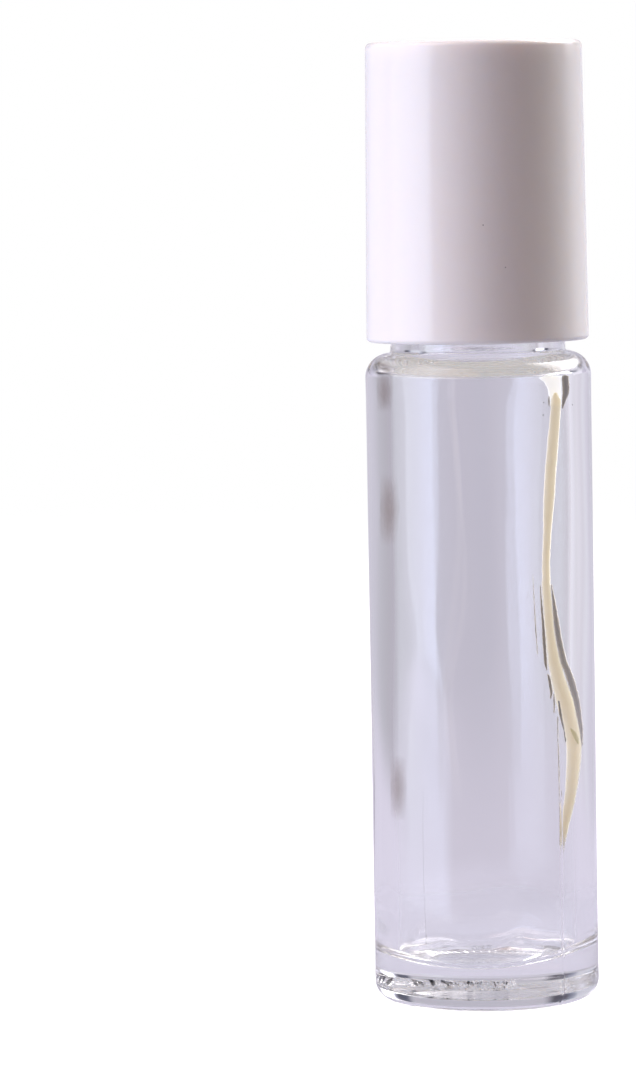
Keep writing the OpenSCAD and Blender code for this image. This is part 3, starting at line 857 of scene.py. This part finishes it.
def wallFilm(name, outline, material, sunk, thickness, ragged):
    # A flat lens between the outline's two edges, sunk into the wall so that no air lies behind it. Its
    # inner side bulges as half an ellipse: the thickness times the root of one less t squared, where t runs
    # from -1 at the left edge to 1 at the right one.
    g, count = glassBottle, oilShape["across"]
    rows = np.array(outline)[::-1]
    z = np.arange(rows[0, 0], rows[-1, 0], oilShape["step"])
    left, right = np.interp(z, rows[:, 0], rows[:, 1]), np.interp(z, rows[:, 0], rows[:, 2])
    jitter = np.random.default_rng(len(name)).normal(0, ragged, (2, len(z)))
    left, right = left + jitter[0], right + jitter[1]
    s = np.concatenate([np.linspace(0, 1, count), np.linspace(1, 0, count)[1:-1]])
    bulge = np.where(np.arange(len(s)) < count, 0, np.sqrt(np.maximum(1 - (2 * s - 1) ** 2, 0)))
    angles = np.radians(left[:, None] + (right - left)[:, None] * s - 90)
    height = np.repeat(z[:, None], len(s), 1)
    radius = bodyRadius - g["wall"] + wallUneven(g, angles, height) + sunk - thickness * bulge
    obj = stackedPiece(name, onCylinder(radius, height, angles))
    # How far across and along the film each point lies, from 0 to 1, for its material
    across = np.append(np.tile(s, len(z) - 2), [0.5, 0.5])
    along = np.append(np.repeat((z[1:-1] - z[0]) / (z[-1] - z[0]), len(s)), [0, 1])
    for key, value in (("across", across), ("along", along)):
        made = obj.data.attributes.new(key, "FLOAT", "POINT")
        made.data.foreach_set("value", value.astype(np.float32))
    finishPiece(obj, "bottle", None, material)


def attribute(tree, name):
    return addNode(tree, "ShaderNodeAttribute", attribute_name=name).outputs["Fac"]


def filmMaterial(look, f):
    mat, tree, out = newMaterial(look["name"])
    shader = addNode(tree, "ShaderNodeBsdfPrincipled", Roughness=f["roughness"], IOR=f["ior"],
                     Specular_IOR_Level=0.0, Subsurface_Weight=1.0, Subsurface_Radius=f["scatter"],
                     Subsurface_Scale=f["scatterDepth"] * mm, Emission_Strength=1.0)
    streaks = noise(tree, stretched(tree, objectPlace(tree), f["streakStretch"]), f["streakScale"],
                    f["streakDetail"])
    shift = times(tree, minus(tree, streaks, 0.5), f["streakShift"])
    shifted = plus(tree, attribute(tree, "across"), shift)
    colour = colourRamp(tree, shifted, zip(f["colourAt"], (look["left"], look["middle"], look["right"])))
    # The colour as base colour, and again as a painted glow through the emission
    for amount, target in ((f["painted"], "Base Color"), (look["paintedGlow"], "Emission Color")):
        link(tree, mixColours(tree, 1.0, colour, (amount,) * 3, "MULTIPLY"), shader.inputs[target])
    if "tail" in look:
        along = attribute(tree, "along")
        link(tree, mapRange(tree, along, 0.0, look["tail"], kind="SMOOTHSTEP"), shader.inputs["Alpha"])
        link(tree, mapRange(tree, along, *f["glowAlong"], *f["glow"]), shader.inputs["Emission Strength"])
    link(tree, shader.outputs[0], out.inputs[0])
    return mat


oilMaterials = {key: filmMaterial(look, oilFinish) for key, look in oilLooks.items()}
speckDark = plasticMaterial("dark speck", (0.10, 0.09, 0.09), roughness=0.6)
for film, (look, outline) in oilFilms.items():
    wallFilm("oil" + film[0].upper() + film[1:], outline, oilMaterials[look], oilLooks[look]["sunk"],
             oilShape["thickness"], oilShape["ragged"])


# Faint brownish deposits on the left of the wall, with outlines like the films'. Across and along they fade
# as one less the distance from the middle to the power falloff.
smudgeLook = dict(colour=(0.24, 0.19, 0.17), strength=0.42, falloff=1.6, roughness=0.5, ior=1.47, sunk=0.04,
                  thickness=0.06)
smudges = dict(
    smudgeTop=[(56.3, -76.0, -58.0), (54.8, -77.0, -58.0), (52.6, -77.0, -60.0)],
    smudgeMiddle=[(47.2, -74.0, -56.0), (44.2, -76.0, -54.0), (40.8, -77.0, -58.0)],
    smudgeLow=[(22.5, -67.0, -52.0), (19.5, -68.0, -52.0), (16.5, -68.0, -53.0)])


def smudgeMaterial(name, f):
    mat, tree, out = newMaterial(name)
    shader = addNode(tree, "ShaderNodeBsdfPrincipled", Base_Color=(*f["colour"], 1), IOR=f["ior"],
                     Roughness=f["roughness"])
    alpha = f["strength"]
    for key in ("across", "along"):
        far = mathNode(tree, "ABSOLUTE", minus(tree, times(tree, attribute(tree, key), 2.0), 1.0))
        near = mathNode(tree, "SUBTRACT", 1.0, mathNode(tree, "POWER", far, f["falloff"]), clamp=True)
        alpha = times(tree, near, alpha)
    link(tree, alpha, shader.inputs["Alpha"])
    link(tree, shader.outputs[0], out.inputs[0])
    return mat


smudgeBrown = smudgeMaterial("faint deposit", smudgeLook)
for smudge, outline in smudges.items():
    wallFilm(smudge, outline, smudgeBrown, smudgeLook["sunk"], smudgeLook["thickness"], ragged=0.0)


# Specks on the inner wall and on the cap: (azimuth, height, radius), flattened to the share flat
speckBead = dict(rings=8, columns=12, flat=0.5)
wallSpecks = [(36.2, 54.9, 0.035), (39.8, 55.1, 0.03), (41.3, 55.3, 0.03), (38.8, 53.4, 0.05),
              (38.3, 52.3, 0.06), (63.4, 53.0, 0.05), (12.0, 41.0, 0.02), (-21.0, 36.0, 0.02),
              (-9.0, 24.0, 0.025), (20.0, 16.0, 0.02)]
capSpecks = [(1.8, 69.0, 0.05), (13.0, 65.3, 0.045)]


def speckPiece(name, specks, radiusAt, body, material):
    # Small flattened beads, each a squashed sphere whose middle lies in the surface.
    b = speckBead
    lat = np.linspace(-np.pi / 2, np.pi / 2, b["rings"])[1:-1, None]
    lon = evenAngles(b["columns"])
    sphere = onCylinder(np.cos(lat), np.sin(lat) + 0 * lon, lon).reshape(-1, 3)
    sphere = np.concatenate([sphere, [[0, 0, -1], [0, 0, 1]]])
    quads, tris = stackFaces(len(lat), len(lon))
    points = []
    for azimuth, height, size in specks:
        a = facing(azimuth)
        out, side, up = np.array([[math.cos(a), math.sin(a), 0], [-math.sin(a), math.cos(a), 0], [0, 0, 1]])
        local = sphere * size * np.array([b["flat"], 1, 1])
        middle = out * radiusAt(a, height) + up * height
        points.append(middle + local[:, :1] * out + local[:, 1:2] * side + local[:, 2:] * up)
    offsets = (np.arange(len(specks)) * len(sphere))[:, None, None]
    obj = putMesh(name, np.concatenate(points), (quads[None] + offsets).reshape(-1, 4),
                  (tris[None] + offsets).reshape(-1, 3))
    finishPiece(obj, body, None, material)


def innerRadius(angle, height):
    uneven = wallUneven(glassBottle, np.array(angle), np.array(height))
    return bodyRadius - glassBottle["wall"] + float(uneven)


speckPiece("wallSpecks", wallSpecks, innerRadius, "bottle", speckDark)
print("oil run and specks built")


# Cap shell: topStep, wallStep and rimStep cut the profile's straight runs, and arcStep its roundings
capShell = dict(inset=0.15, draft=0.3, topRound=0.5, rimRound=0.4, bore=8.9, topWall=1.1, vaultRound=0.6,
                boreRound=0.2, columns=256, topStep=1.0, wallStep=2.0, rimStep=0.2, arcStep=7.5)


def buildCapShell(c):
    # The section of a plain tapered cup, carried round the axis.
    foot = bodyRadius - c["inset"]
    top = foot - c["draft"]
    vault = capTop - c["topWall"]
    profile = arcProfile([
        (0, vault, 0, c["topStep"]), (c["bore"], vault, c["vaultRound"], c["wallStep"]),
        (c["bore"], capFoot, c["boreRound"], c["rimStep"]), (foot, capFoot, c["rimRound"], c["wallStep"]),
        (top, capTop, c["topRound"], c["topStep"]), (0, capTop, 0, 0)], c["arcStep"])
    angles = evenAngles(c["columns"])
    obj = turnedPiece("capShell", spread(profile[:, 0], angles), spread(profile[:, 1], angles), angles)
    finishPiece(obj, "cap", "cap_shell", whiteGloss)


def capRadius(angle, height):
    up = (height - capFoot) / (capTop - capFoot)
    return bodyRadius - capShell["inset"] - capShell["draft"] * up


buildCapShell(capShell)
speckPiece("capSpecks", capSpecks, capRadius, "cap", speckDark)


# Ball
rollerBall = dict(rings=72, columns=144)


def buildBall(b):
    # A sphere by latitude: radius times its cosine out, and radius times its sine up.
    lat = np.linspace(-np.pi / 2, np.pi / 2, b["rings"])
    angles = evenAngles(b["columns"])
    obj = turnedPiece("rollerBall", spread(ballRadius * np.cos(lat), angles),
                      spread(ballHeight + ballRadius * np.sin(lat), angles), angles)
    finishPiece(obj, "ball", "roller_ball", polishedSteel)


buildBall(rollerBall)


# The pieces whose CAD shape stays
def dressNode(name, material):
    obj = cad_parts[name]
    obj.data.materials.clear()
    obj.data.materials.append(material)


dressNode("roller_housing", naturalPlastic)
dressNode("cap_insert", insertWhite)
dressNode("ball_seal", sealFoam)


# Light crosses many glass surfaces on its way through the bottle
scene = bpy.context.scene
scene.view_settings.view_transform = "Standard"
scene.cycles.max_bounces = 40
scene.cycles.transmission_bounces = 32
scene.cycles.glossy_bounces = 32
scene.cycles.transparent_max_bounces = 24
scene.cycles.use_denoising = True

print("all pieces built")
